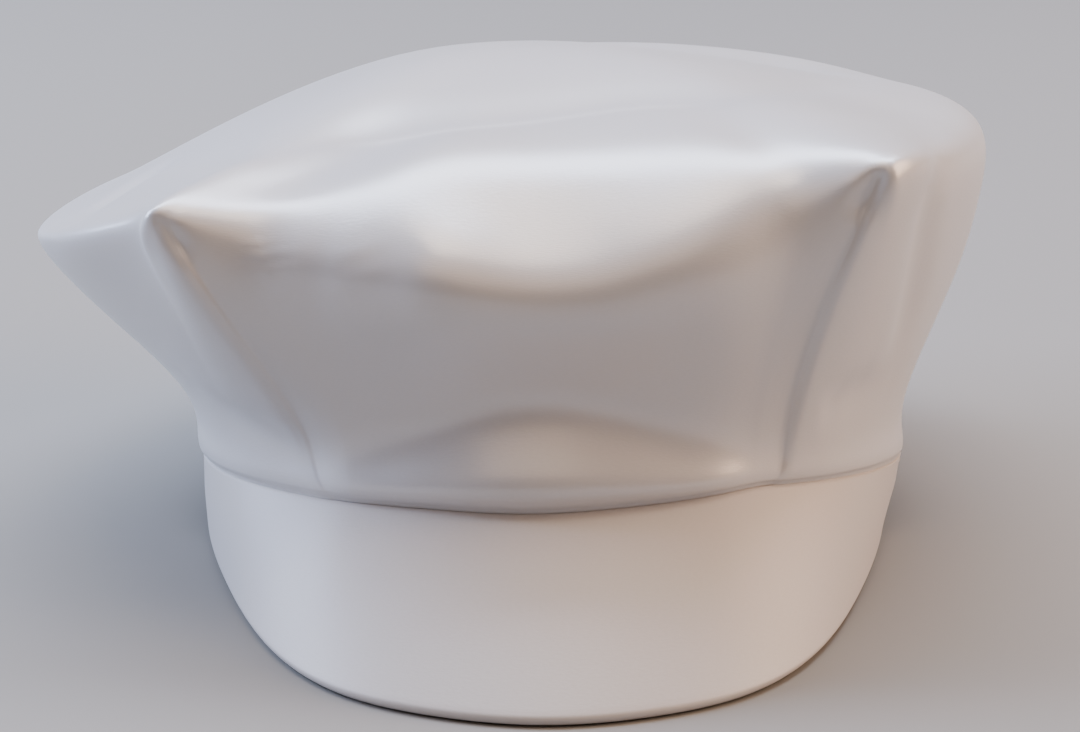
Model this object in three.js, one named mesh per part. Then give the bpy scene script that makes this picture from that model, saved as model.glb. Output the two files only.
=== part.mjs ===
import * as THREE from 'three';

// A baby's christening hat in white satin: a puffed crown on a wide, turned-down peak.
// Millimetres. The hat is drawn level first: x to the right seen from the front, y to the
// back, h up from the plane of the head opening. It is then tipped back until it rests on
// its rear hem and on the edge of its peak.

// Head opening, an ellipse, measured over the outside of the hem.
const OPENING_HALF_WIDTH = 67.5;
const OPENING_HALF_LENGTH = 75;
const REST_TILT = THREE.MathUtils.degToRad(9.4);
const REST_SINK = 0.5;

// Cloth.
const CROWN_WALL = 1.5;
const PEAK_THICKNESS = 2.2;
const SEAM_GAP = 0.35;

// Peak, which is the same on both sides of its own middle.
const PEAK_MIDDLE = -1.2;
const PEAK_BOW = 1.6;
const PEAK_END = 88;
const PEAK_LIFT_FROM = 77;
const PEAK_EDGE_HEIGHT = 1.4;

// The peak's outer edge on the ground.
//   turn         station on the hem that this part of the edge hangs from, degrees
//   side, ahead  how far it stands to the side, and ahead of the widest line of the opening
const PEAK_EDGE = [
  [0, 0, 110],
  [15, 19.5, 106],
  [30, 36, 96],
  [45, 48.5, 77],
  [60, 57.5, 50],
  [75, 63.5, 24],
  [90, 66.3, 2],
].map(([turn, side, ahead]) => ({ turn, side, ahead }));

// Highest point of the crown's top.
const CROWN_CENTRE = { x: -3, y: 12, h: 79 };

// The crown, one row for each station round the head opening, clockwise from the front as
// seen from below.
//   turn            where the station stands on the hem, degrees
//   rise            hem above the plane of the opening
//   swell           roll of the hem outward
//   waist, waistH   step outward at the narrowest line, and its height
//   midX, midY      the wall halfway up
//   ridgeX, Y, H    the edge between wall and top
//   round           how softly that edge turns
//   brow            how far the top still rises just behind that edge
//   belly           how far forward the wall stays below that edge
//   crest           share of the rise to the middle that the top has a third of the way in
const STATIONS = [
  ['front', 0, 0, 5.5, -3.5, 18, -1, -84.5, -2, -74.5, 53, 10.5, 10.5, 1.25, 0.54],
  ['front right', 20, 1.5, 4.2, -2, 14, 26, -80.8, 28, -75.5, 56.5, 12.2, 8.8, 2.2, 0.56],
  ['panel right', 30, 2.5, 2, 0, 12, 37, -75, 43, -75.8, 55.5, 10, 8.5, 0.5, 0.6],
  ['fold right', 37, 2.5, 1.5, 0.5, 11, 46, -73, 56, -77.5, 59.5, 6, 4, 0.6, 0.62],
  ['shoulder right', 52, 1.5, 1.5, 0, 11, 59, -61, 66, -66.5, 61, 9, 3.5, 0.6, 0.62],
  ['side right', 75, 0, 1, -0.8, 11, 75, -26, 79, -33, 61.5, 13, 5, 0.6, 0.62],
  ['wide right', 97, 0, 0.5, -1.2, 11, 77, 5, 84, 4, 64.5, 13, 5, 0.6, 0.62],
  ['right back', 126, 0, 1, 0, 11, 66, 48, 75, 50, 67.5, 15, 5.5, 0.6, 0.62],
  ['back right', 153, 0, 1.5, 1, 11, 40, 77, 46, 80, 71, 18, 6, 0.6, 0.62],
  ['back', 180, 0, 1.5, 1, 11, 0, 88, 0, 92, 71.5, 18, 6, 0.6, 0.62],
  ['back left', 205, 0, 1.5, 1, 11, -37, 79, -43, 82, 64.5, 18, 6.5, 0.6, 0.62],
  ['left back', 230, 0, 1.5, 1, 11, -65, 53, -75, 52, 54.5, 14, 5, 0.6, 0.62],
  ['ear back', 252, 0, 1.5, 0.5, 11, -80, 19, -94, 14, 48, 9, 3.5, 0.6, 0.62],
  ['ear', 269, 0, 1.5, 0.5, 11, -85, -10, -98, -18, 44, 6, 2, 0.6, 0.6],
  ['ear front', 283, 0, 1.5, 0.5, 11, -76, -39, -87, -48, 46, 7, 2.5, 0.6, 0.55],
  ['shoulder left', 302, 0, 1.5, 0.5, 11, -64, -64, -72, -68.5, 50.5, 6.5, 3, 0.6, 0.5],
  ['fold left', 321, 0, 1.5, 0.5, 11, -54.5, -71.5, -66.5, -75, 51.5, 6.5, 3.6, 0.6, 0.5],
  ['panel left', 331, 0, 3, -0.5, 12, -41.5, -74.2, -49, -72.3, 50.8, 10.8, 5.2, 2.1, 0.52],
  ['front left', 344, 0, 4.6, -2, 15, -22, -82.3, -26, -74.8, 54, 12.5, 9, 2, 0.53],
].map(([
  name, turn, rise, swell, waist, waistH, midX, midY, ridgeX, ridgeY, ridgeH, round, brow, belly, crest,
]) => ({
  name, turn, rise, swell, waist, waistH, midX, midY, ridgeX, ridgeY, ridgeH, round, brow, belly, crest,
}));

// How many times each row of the crown is evened out with its neighbours round the hat.
const EVENED = [0, 0, 0, 0, 0, 0, 0, 2, 4, 0];

// Soft folds and dents of the satin, one row each.
//   lift          how far the cloth stands out, or in when negative
//   left, right   its width on either side of its line
//   ends          share of the lift that is left at the line's start and at its end
//   line          points that it runs through, x, y and h
const FOLDS = [
  { name: 'valley across the top', lift: -1.8, left: 4.5, right: 9, ends: [0.5, 0.3],
    line: [[-71, -21, 58], [-55, -50, 60], [-42, -46, 64], [-20, -47, 66], [2, -43, 68], [20, -41, 69],
      [38, -38, 71], [58, -1, 71]] },
  { name: 'hollow at the right back', lift: -1.6, left: 18, right: 18, ends: [0.5, 0.5],
    line: [[28, 28, 78], [60, 38, 73]] },
  { name: 'crease at the left corner', lift: -1.5, left: 3.5, right: 3.5, ends: [0.3, 0],
    line: [[-88, -33, 48], [-80, -21, 53], [-70, -12, 57]] },
  { name: 'groove down the right side', lift: -1.5, left: 5, right: 5, ends: [0.2, 0],
    line: [[68, -42, 64], [66, -60, 54], [64, -47, 33], [61, -40, 20]] },
  { name: 'dent at the right waist', lift: -1.2, left: 5, right: 5, ends: [0.3, 0],
    line: [[62, -38, 19], [52, -54, 18], [46, -60, 15]] },
  { name: 'crease at the left waist', lift: -1.3, left: 4.5, right: 4.5, ends: [0.3, 0],
    line: [[-66, -37, 17], [-56, -48, 13], [-48, -57, 9], [-39, -65, 4]] },
  { name: 'arched crease over the roll', lift: -0.8, left: 5, right: 5, ends: [0, 0],
    line: [[-37, -66, 7], [-26, -71, 13], [-3, -75, 20], [18, -73, 14], [29, -70, 10]] },
  { name: 'puff below the front edge', lift: 2, left: 9, right: 9, ends: [0, 0],
    line: [[-27, -77, 49], [-16, -82, 42], [-7, -84, 37.5], [3, -84, 36.5], [12, -82, 39]] },
  { name: 'pocket under the left tip', lift: -1.6, left: 2.5, right: 2.5, ends: [1, 0],
    line: [[-67, -74, 50.5], [-62, -74, 43]] },
  { name: 'pocket under the right tip', lift: -1.6, left: 2.5, right: 2.5, ends: [1, 0],
    line: [[54.5, -77, 58], [51, -76, 50]] },
];

// A fold's line may lie this far above or under the cloth that it creases.
const OFF_CLOTH = 6;

// Knife pleats: the side of the crown laps over the front panel, from the hem up to the rows
// where the cloth of the pleat lies open again.
const PLEAT_LIFT = 1.3;
const PLEAT_EDGE = 0.1;
const PLEAT_BODY = 0.6;
const PLEAT_OPENS_FROM = 4;
const PLEAT_OPEN_AT = 4.9;
const PLEATS = [
  { name: 'left pleat', foldedAt: 'fold left', side: -1 },
  { name: 'right pleat', foldedAt: 'fold right', side: 1 },
].map((pleat) => ({ ...pleat, station: STATIONS.findIndex((s) => s.name === pleat.foldedAt) }));

// Rows of the crown wall and top in control spacings, from the hem to the centre.
const CROWN_ROWS = [
  0, 0.4, 0.8, 1.2, 1.6, 2, 2.5, 3, 3.4, 3.8, 4.2, 4.55, 4.9, 5.25, 5.6, 6, 6.5, 7, 7.6, 8.3, 9,
];
const COLUMNS_PER_STATION = 4;
const PLEAT_COLUMNS = [-0.5, -0.25, -0.1, 0, 0.12, 0.3, 0.6];
const PEAK_COLUMNS = 44;
const PEAK_ROWS = [0, 0.2, 0.4, 0.6, 0.8, 0.93, 1];

/** Weights of the four control points round a place that lies f of the way between two. */
function cubicWeights(f) {
  const g = 1 - f;
  return [g ** 3 / 6, (3 * f ** 3 - 6 * f ** 2 + 4) / 6, (3 * g ** 3 - 6 * g ** 2 + 4) / 6, f ** 3 / 6];
}

/** Smooth step from 0 at a to 1 at b. */
function ease(a, b, x) {
  return THREE.MathUtils.smoothstep((x - a) / (b - a), 0, 1);
}

/** Point on the outside of the hem at an angle from the front, with the hem's own rise. */
function hemPoint(angle, rise) {
  const x = OPENING_HALF_WIDTH * Math.sin(angle);
  const y = -OPENING_HALF_LENGTH * Math.cos(angle);
  return new THREE.Vector3(x, y, rise);
}

/** Control points up one station, from the hem over the ridge to the centre of the top. */
function stationProfile(s) {
  const angle = THREE.MathUtils.degToRad(s.turn);
  const hem = hemPoint(angle, s.rise);
  const out = new THREE.Vector3(
    Math.sin(angle) / OPENING_HALF_WIDTH, -Math.cos(angle) / OPENING_HALF_LENGTH, 0).normalize();
  const ridge = new THREE.Vector3(s.ridgeX, s.ridgeY, s.ridgeH);
  const centre = new THREE.Vector3(CROWN_CENTRE.x, CROWN_CENTRE.y, CROWN_CENTRE.h);
  const inward = new THREE.Vector3(centre.x - ridge.x, centre.y - ridge.y, 0);
  const span = inward.length();
  inward.normalize();
  const midH = (s.waistH + s.ridgeH) / 2;
  const lean = new THREE.Vector3(s.ridgeX - s.midX, s.ridgeY - s.midY, 0);
  lean.multiplyScalar(s.belly * s.round / (s.ridgeH - midH));
  const place = (base, along, amount, h) => base.clone().addScaledVector(along, amount).setZ(h);
  return [
    hem,
    place(hem, out, s.swell, s.rise + 0.3 * (s.waistH - s.rise)),
    place(hem, out, s.waist, s.waistH),
    new THREE.Vector3(s.midX, s.midY, midH),
    place(ridge, lean, -1, s.ridgeH - 0.8 * s.round),
    place(ridge, lean, 0.06, s.ridgeH + 0.15 * s.round),
    place(ridge, inward, s.round, s.ridgeH + s.brow),
    place(ridge, inward, 0.36 * span, s.ridgeH + s.crest * (centre.z - s.ridgeH)),
    place(ridge, inward, 0.7 * span, centre.z - 0.5),
    centre,
  ];
}

/** Control net whose closed smooth curves pass through every station's profile. */
function controlNet(profiles) {
  const count = profiles.length;
  const net = profiles.map((profile) => profile.map((p) => p.clone()));
  for (let pass = 0; pass < 40; pass += 1) {
    const before = net.map((profile) => profile.map((p) => p.clone()));
    for (let i = 0; i < count; i += 1) {
      const last = before[(i + count - 1) % count];
      const next = before[(i + 1) % count];
      net[i].forEach((p, j) => {
        const reached = before[i][j].clone().multiplyScalar(4).add(last[j]).add(next[j]);
        p.add(profiles[i][j]).addScaledVector(reached, -1 / 6);
      });
    }
  }
  return net;
}

/** Evens out the rows of the top round the hat, so that no tip creases it up to the middle. */
function evenOut(profiles) {
  const count = profiles.length;
  EVENED.forEach((passes, row) => {
    for (let pass = 0; pass < passes; pass += 1) {
      const line = profiles.map((profile) => profile[row].clone());
      profiles.forEach((profile, i) => {
        profile[row].multiplyScalar(2).add(line[(i + count - 1) % count]).add(line[(i + 1) % count]);
        profile[row].multiplyScalar(0.25);
      });
    }
  });
  return profiles;
}

const NET = controlNet(evenOut(STATIONS.map(stationProfile)));
const TOP_ROW = NET[0].length - 1;

/** Control point of a station; rows past either end continue straight on. */
function control(i, j) {
  const column = NET[(i + 2 * NET.length) % NET.length];
  if (j < 0) {
    return column[0].clone().multiplyScalar(2).sub(column[1]);
  }
  if (j > TOP_ROW) {
    return column[TOP_ROW].clone().multiplyScalar(2).sub(column[TOP_ROW - 1]);
  }
  return column[j];
}

/** Point of the smooth crown at u stations round and v rows up. */
function crownPoint(u, v) {
  const i = Math.floor(u);
  const j = Math.min(Math.floor(v), TOP_ROW - 1);
  const across = cubicWeights(u - i);
  const up = cubicWeights(v - j);
  const point = new THREE.Vector3();
  across.forEach((a, k) => {
    up.forEach((b, l) => point.addScaledVector(control(i + k - 1, j + l - 1), a * b));
  });
  return point;
}

/** Outward normal of the smooth crown. */
function crownNormal(u, v) {
  if (v > TOP_ROW - 0.01) {
    return new THREE.Vector3(0, 0, 1);
  }
  const step = 0.02;
  const low = Math.max(v - step, 0);
  const round = crownPoint(u + step, v).sub(crownPoint(u - step, v));
  const up = crownPoint(u, v + step).sub(crownPoint(u, low));
  return round.cross(up).normalize();
}

/** How far one fold lifts the cloth at a point where its outward normal is given. */
function foldLift(fold, point, normal) {
  const pieces = fold.line.length - 1;
  let near = Infinity;
  let width = fold.left;
  let travel = 0;
  for (let k = 0; k < pieces; k += 1) {
    const a = new THREE.Vector3(...fold.line[k]);
    const along = new THREE.Vector3(...fold.line[k + 1]).sub(a);
    const offset = point.clone().sub(a);
    const t = THREE.MathUtils.clamp(offset.dot(along) / along.lengthSq(), 0, 1);
    offset.addScaledVector(along, -t);
    const offCloth = offset.dot(normal);
    const inCloth = offset.addScaledVector(normal, -offCloth);
    const distance = Math.hypot(inCloth.length(), Math.max(Math.abs(offCloth) - OFF_CLOTH, 0));
    if (distance < near) {
      near = distance;
      width = normal.clone().cross(along).dot(inCloth) > 0 ? fold.left : fold.right;
      travel = (k + t) / pieces;
    }
  }
  const start = THREE.MathUtils.lerp(fold.ends[0], 1, ease(0, 0.4, travel));
  const end = THREE.MathUtils.lerp(fold.ends[1], 1, ease(0, 0.4, 1 - travel));
  return fold.lift * start * end * Math.exp(-((near / width) ** 2));
}

/** How far the pleats lift the cloth at u stations round and v rows up. */
function pleatLift(u, v) {
  const fade = 1 - ease(PLEAT_OPENS_FROM, PLEAT_OPEN_AT, v);
  return PLEATS.reduce((sum, pleat) => {
    const half = STATIONS.length / 2;
    const away = THREE.MathUtils.euclideanModulo(u - pleat.station + half, 2 * half) - half;
    const q = away * pleat.side;
    const step = ease(-PLEAT_EDGE, 0, q) * (1 - ease(0, PLEAT_BODY, q));
    return sum + PLEAT_LIFT * fade * step;
  }, 0);
}

/** Tips a point of the level hat into its resting place and flattens it on the ground. */
function rest(p) {
  const c = Math.cos(REST_TILT);
  const s = Math.sin(REST_TILT);
  const z = p.z * c - p.y * s + OPENING_HALF_LENGTH * s - REST_SINK;
  return new THREE.Vector3(p.x, p.y * c + p.z * s, Math.max(z, 0));
}

/** Closed skin of a wall from its outer and inner grids, both grid[column][row]. */
function wallGeometry(outer, inner, isRing, isDome) {
  const columns = outer.length;
  const rows = outer[0].length;
  const points = [];
  const index = [];
  const place = (grid) => grid.map((column) => column.map((p) => points.push(p.x, p.y, p.z) / 3 - 1));
  const out = place(outer);
  const inn = place(inner);
  const quad = (a, b, c, d) => index.push(a, b, c, a, c, d);
  const last = isRing ? columns : columns - 1;
  for (let i = 0; i < last; i += 1) {
    const n = (i + 1) % columns;
    const top = isDome ? rows - 2 : rows - 1;
    for (let j = 0; j < top; j += 1) {
      quad(out[i][j], out[n][j], out[n][j + 1], out[i][j + 1]);
      quad(inn[n][j], inn[i][j], inn[i][j + 1], inn[n][j + 1]);
    }
    quad(out[n][0], out[i][0], inn[i][0], inn[n][0]);
    if (isDome) {
      index.push(out[i][top], out[n][top], out[0][top + 1]);
      index.push(inn[n][top], inn[i][top], inn[0][top + 1]);
    } else {
      quad(out[i][top], out[n][top], inn[n][top], inn[i][top]);
    }
  }
  if (!isRing) {
    const e = columns - 1;
    for (let j = 0; j < rows - 1; j += 1) {
      quad(out[0][j], out[0][j + 1], inn[0][j + 1], inn[0][j]);
      quad(out[e][j + 1], out[e][j], inn[e][j], inn[e][j + 1]);
    }
  }
  const geometry = new THREE.BufferGeometry();
  geometry.setAttribute('position', new THREE.Float32BufferAttribute(points, 3));
  geometry.setIndex(index);
  return geometry;
}

/** Stations at which the crown has a column of points, closer together at the pleats. */
function crownColumns() {
  const columns = [];
  const isFree = (u) => PLEATS.every((pleat) => Math.abs(u - pleat.station) > 0.65);
  for (let k = 0; k < STATIONS.length * COLUMNS_PER_STATION; k += 1) {
    columns.push(k / COLUMNS_PER_STATION);
  }
  const kept = columns.filter(isFree);
  PLEATS.forEach((pleat) => {
    PLEAT_COLUMNS.forEach((q) => kept.push(pleat.station + q * pleat.side));
  });
  return kept.sort((a, b) => a - b);
}

/** The crown: one shell of satin from the hem over the ridge to the middle of the top. */
function crownGeometry() {
  const outer = [];
  const inner = [];
  crownColumns().forEach((u) => {
    const skin = CROWN_ROWS.map((v) => {
      const point = crownPoint(u, v);
      const normal = crownNormal(u, v);
      const folds = FOLDS.reduce((sum, fold) => sum + foldLift(fold, point, normal), 0);
      const lift = (folds + pleatLift(u, v)) * ease(0, 0.6, v);
      return { point, normal, lift };
    });
    outer.push(skin.map((s) => rest(s.point.clone().addScaledVector(s.normal, s.lift))));
    inner.push(skin.map((s) => {
      const depth = s.lift - CROWN_WALL;
      const level = s === skin[0] ? new THREE.Vector3(s.normal.x, s.normal.y, 0).normalize() : s.normal;
      return rest(s.point.clone().addScaledVector(level, depth));
    }));
  });
  return wallGeometry(outer, inner, true, true);
}

/** Place on the crown's hem at an angle from the front, in degrees. */
function hemAt(turn) {
  let low = -STATIONS.length / 2;
  let high = STATIONS.length / 2;
  for (let k = 0; k < 30; k += 1) {
    const between = (low + high) / 2;
    const p = crownPoint(between, 0);
    const angle = Math.atan2(p.x / OPENING_HALF_WIDTH, -p.y / OPENING_HALF_LENGTH);
    if (THREE.MathUtils.radToDeg(angle) < turn) {
      low = between;
    } else {
      high = between;
    }
  }
  return crownPoint(low, 0);
}

/** Smooth curve of the peak's outer edge, from its left end to its right end. */
function peakEdge() {
  const right = PEAK_EDGE.map((e) => new THREE.Vector3(PEAK_MIDDLE + e.side, -e.ahead, e.turn));
  const left = PEAK_EDGE.slice(1).map((e) => new THREE.Vector3(PEAK_MIDDLE - e.side, -e.ahead, -e.turn));
  return new THREE.CatmullRomCurve3([...left.reverse(), ...right], false, 'centripetal');
}

/** The peak: a stiffened strip from the front half of the hem down to the ground. */
function peakGeometry() {
  const edge = peakEdge();
  const top = [];
  for (let k = 0; k <= PEAK_COLUMNS; k += 1) {
    const turn = THREE.MathUtils.lerp(-PEAK_END, PEAK_END, k / PEAK_COLUMNS);
    const seam = hemAt(turn);
    seam.z -= SEAM_GAP;
    const from = rest(seam);
    const lift = ease(PEAK_LIFT_FROM, 90, Math.abs(turn));
    const to = edge.getPoint((turn + 90) / 180).setZ(PEAK_EDGE_HEIGHT);
    to.lerp(new THREE.Vector3(from.x, to.y, from.z - 2), lift);
    const bow = PEAK_BOW * Math.cos(THREE.MathUtils.degToRad(turn)) ** 2;
    const column = PEAK_ROWS.map((t) => {
      const p = from.clone().lerp(to, t);
      p.z += 4 * t * (1 - t) * bow;
      return p;
    });
    top.push(column);
  }
  const under = top.map((column, i) => column.map((p, j) => {
    const before = top[Math.max(i - 1, 0)][j];
    const after = top[Math.min(i + 1, top.length - 1)][j];
    const round = after.clone().sub(before);
    const down = column[Math.min(j + 1, column.length - 1)].clone().sub(column[Math.max(j - 1, 0)]);
    const normal = down.cross(round).normalize();
    const q = p.clone().addScaledVector(normal, -PEAK_THICKNESS);
    const seamPlane = p.z + (p.y - q.y) * Math.tan(REST_TILT);
    q.z = Math.max(j === 0 ? Math.min(q.z, seamPlane) : q.z, 0);
    return q;
  }));
  top.forEach((column, i) => {
    const toe = column[column.length - 1];
    const heel = under[i][column.length - 1];
    const foot = new THREE.Vector3(toe.x, toe.y, Math.max(toe.z - PEAK_EDGE_HEIGHT, 0));
    column.push(foot);
    under[i].push(foot.clone().lerp(heel, 0.5));
  });
  return wallGeometry(under, top, false, false);
}

/** One named cloth mesh with its own material. */
function clothMesh(name, geometry) {
  const material = new THREE.MeshStandardMaterial({ name: 'satin', color: '#eceaf0', roughness: 0.45 });
  const mesh = new THREE.Mesh(geometry, material);
  mesh.name = name;
  return mesh;
}

const hat = new THREE.Group();
hat.name = 'christening_hat';
hat.add(clothMesh('crown', crownGeometry()));
hat.add(clothMesh('peak', peakGeometry()));

const bounds = new THREE.Box3().setFromObject(hat);
const middle = bounds.getCenter(new THREE.Vector3());
hat.children.forEach((mesh) => mesh.geometry.translate(-middle.x, -middle.y, -bounds.min.z));

export default hat;
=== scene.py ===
"""Looks of a baby's christening hat: a puffed crown of white satin on a wide, turned-down peak.

The hat's cloth is drawn level, in millimetres: x to the right seen from the front, y to the
back, h up from the plane of the head opening. It is then tipped back onto its rear hem and the
edge of its peak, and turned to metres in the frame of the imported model. Sizes are in millimetres
unless their note says otherwise.
"""

import logging
import math
from dataclasses import dataclass, field
from enum import Enum

import bmesh
import bpy
import numpy as np
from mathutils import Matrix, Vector


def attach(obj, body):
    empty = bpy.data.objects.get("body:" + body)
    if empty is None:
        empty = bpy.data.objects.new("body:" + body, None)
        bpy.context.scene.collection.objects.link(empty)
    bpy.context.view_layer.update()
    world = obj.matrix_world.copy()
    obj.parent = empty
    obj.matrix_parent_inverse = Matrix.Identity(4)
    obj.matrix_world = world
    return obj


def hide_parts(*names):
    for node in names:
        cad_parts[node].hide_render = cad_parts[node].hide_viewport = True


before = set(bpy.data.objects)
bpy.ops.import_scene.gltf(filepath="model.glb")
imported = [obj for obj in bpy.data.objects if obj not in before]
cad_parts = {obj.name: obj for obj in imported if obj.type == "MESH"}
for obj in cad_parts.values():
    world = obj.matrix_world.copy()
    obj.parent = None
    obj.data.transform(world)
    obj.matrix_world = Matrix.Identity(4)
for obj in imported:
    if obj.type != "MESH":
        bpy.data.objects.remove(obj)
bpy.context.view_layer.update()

LOG = logging.getLogger("christening_hat")
MM = 0.001
WELD = 0.02 * MM  # edge points of a piece nearer than this are sewn together
TINY = 1e-12

# The smooth form: lengths in millimetres, shares of a station's own sizes.
NET_PASSES = 40  # rounds that bring the control points of a curve to rest
NEAR_STEP = 0.02  # stations or rows between the places that give a direction
SWELL_SHARE = 0.3  # the hem's fullest roll stands this share of the way up to the waist
UNDER_EDGE = 0.8  # the wall's last row stands this share of the edge's softness under it
OVER_EDGE = 0.15  # and the next row this share over it
OVER_LEAN = 0.06  # where it stands out by this share of the wall's lean
TOP_SHARES = (0.36, 0.7)  # rows of the top, as shares of the way from the edge to its middle
TOP_DROP = 0.5  # the last of them lies this far under the middle

# Folds.
OFF_CLOTH = 6.0  # a fold's line may lie this far above or under the cloth, in millimetres
FOLD_PIECES = 6  # straight pieces that a fold's line is cut into between two of its points
FOLD_REACH = 3  # a fold is felt this many of its widths away
FOLD_RAMP = 0.4  # share of its line over which a fold comes to its full lift


class Side(Enum):
    """Side of the hat that a pleat is on, seen from the front; its value is the way its cloth runs."""

    LEFT = -1
    RIGHT = 1


@dataclass(frozen=True)
class Station:
    """One section of the crown, from the hem over the ridge to the middle of the top.

    Attributes:
        name: where it stands.
        turn: its angle round the hem from the front, degrees.
        rise: the hem above the plane of the head opening.
        swell: roll of the hem outward.
        waist: step outward at the narrowest line.
        waist_h: height of that line.
        mid_x: x of the wall halfway up.
        mid_y: y of the wall halfway up.
        ridge_x: x of the edge between wall and top.
        ridge_y: y of that edge.
        ridge_h: height of that edge.
        soft: how softly that edge turns.
        brow: how far the top still rises just behind that edge.
        belly: how far forward the wall stays below that edge.
        crest: share of the rise to the middle that the top has a third of the way in.
    """

    name: str
    turn: float
    rise: float
    swell: float
    waist: float
    waist_h: float
    mid_x: float
    mid_y: float
    ridge_x: float
    ridge_y: float
    ridge_h: float
    soft: float
    brow: float
    belly: float
    crest: float


@dataclass(frozen=True)
class Fold:
    """A soft fold, crease or dent of the satin.

    Attributes:
        name: what it is.
        lift: how far the cloth stands out, or in when negative.
        left: its width to the left of its line.
        right: its width to the right of its line.
        ends: share of the lift that is left at the line's start and at its end.
        line: points that it runs through, x, y and h.
    """

    name: str
    lift: float
    left: float
    right: float
    ends: tuple[float, float]
    line: tuple[tuple[float, float, float], ...]


@dataclass(frozen=True)
class Pleat:
    """A knife pleat: the side of the crown laps over the front panel.

    Attributes:
        name: what it is.
        side: the side of the hat that it is on.
        station: name of the station that its folded edge runs down.
        closed_to: row of the crown up to which the pleat is fully closed.
        open_from: row above which its cloth lies open.
        section: rows of (place along the open cloth in stations, push over the panel, lift).
        slide: how far its foot turns in over the panel at the hem, in stations.
    """

    name: str
    side: Side
    station: str
    closed_to: float
    open_from: float
    section: tuple[tuple[float, float, float], ...]
    slide: float


# name, turn, rise, swell, waist, waist_h, mid_x, mid_y, ridge_x, ridge_y, ridge_h, soft, brow, belly, crest
STATIONS = tuple(Station(*row) for row in (
    ("front", 0, 0, 5.5, -3.5, 18, -1, -84.5, -2, -74.5, 53, 10.5, 10.5, 1.25, 0.54),
    ("front right", 20, 1.5, 4.2, -2, 14, 26, -80.8, 28, -75.5, 56.5, 12.2, 8.8, 2.2, 0.56),
    ("panel right", 30, 2.5, 2, 0, 12, 37, -75, 43, -75.8, 55.5, 10, 8.5, 0.5, 0.6),
    ("fold right", 37, 2.5, 1.5, 0.5, 11, 46, -73, 56, -77.5, 59.5, 6, 4, 0.6, 0.62),
    ("shoulder right", 52, 1.5, 1.5, 0, 11, 59, -61, 66, -66.5, 61, 9, 3.5, 0.6, 0.62),
    ("side right", 75, 0, 1, -0.8, 11, 75, -26, 79, -33, 61.5, 13, 5, 0.6, 0.62),
    ("wide right", 97, 0, 0.5, -1.2, 11, 77, 5, 84, 4, 64.5, 13, 5, 0.6, 0.62),
    ("right back", 126, 0, 1, 0, 11, 66, 48, 75, 50, 67.5, 15, 5.5, 0.6, 0.62),
    ("back right", 153, 0, 1.5, 1, 11, 40, 77, 46, 80, 71, 18, 6, 0.6, 0.62),
    ("back", 180, 0, 1.5, 1, 11, 0, 88, 0, 92, 71.5, 18, 6, 0.6, 0.62),
    ("back left", 205, 0, 1.5, 1, 11, -37, 79, -43, 82, 64.5, 18, 6.5, 0.6, 0.62),
    ("left back", 230, 0, 1.5, 1, 11, -65, 53, -75, 52, 54.5, 14, 5, 0.6, 0.62),
    ("ear back", 252, 0, 1.5, 0.5, 11, -80, 19, -94, 14, 48, 9, 3.5, 0.6, 0.62),
    ("ear", 269, 0, 1.5, 0.5, 11, -85, -10, -98, -18, 44, 6, 2, 0.6, 0.6),
    ("ear front", 283, 0, 1.5, 0.5, 11, -76, -39, -87, -48, 46, 7, 2.5, 0.6, 0.55),
    ("shoulder left", 302, 0, 1.5, 0.5, 11, -64, -64, -72, -68.5, 50.5, 6.5, 3, 0.6, 0.5),
    ("fold left", 321, 0, 1.5, 0.5, 11, -54.5, -71.5, -66.5, -75, 51.5, 6.5, 3.6, 0.6, 0.5),
    ("panel left", 331, 0, 3, -0.5, 12, -41.5, -74.2, -49, -72.3, 50.8, 10.8, 5.2, 2.1, 0.52),
    ("front left", 344, 0, 4.6, -2, 15, -22, -82.3, -26, -74.8, 54, 12.5, 9, 2, 0.53),
))

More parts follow.
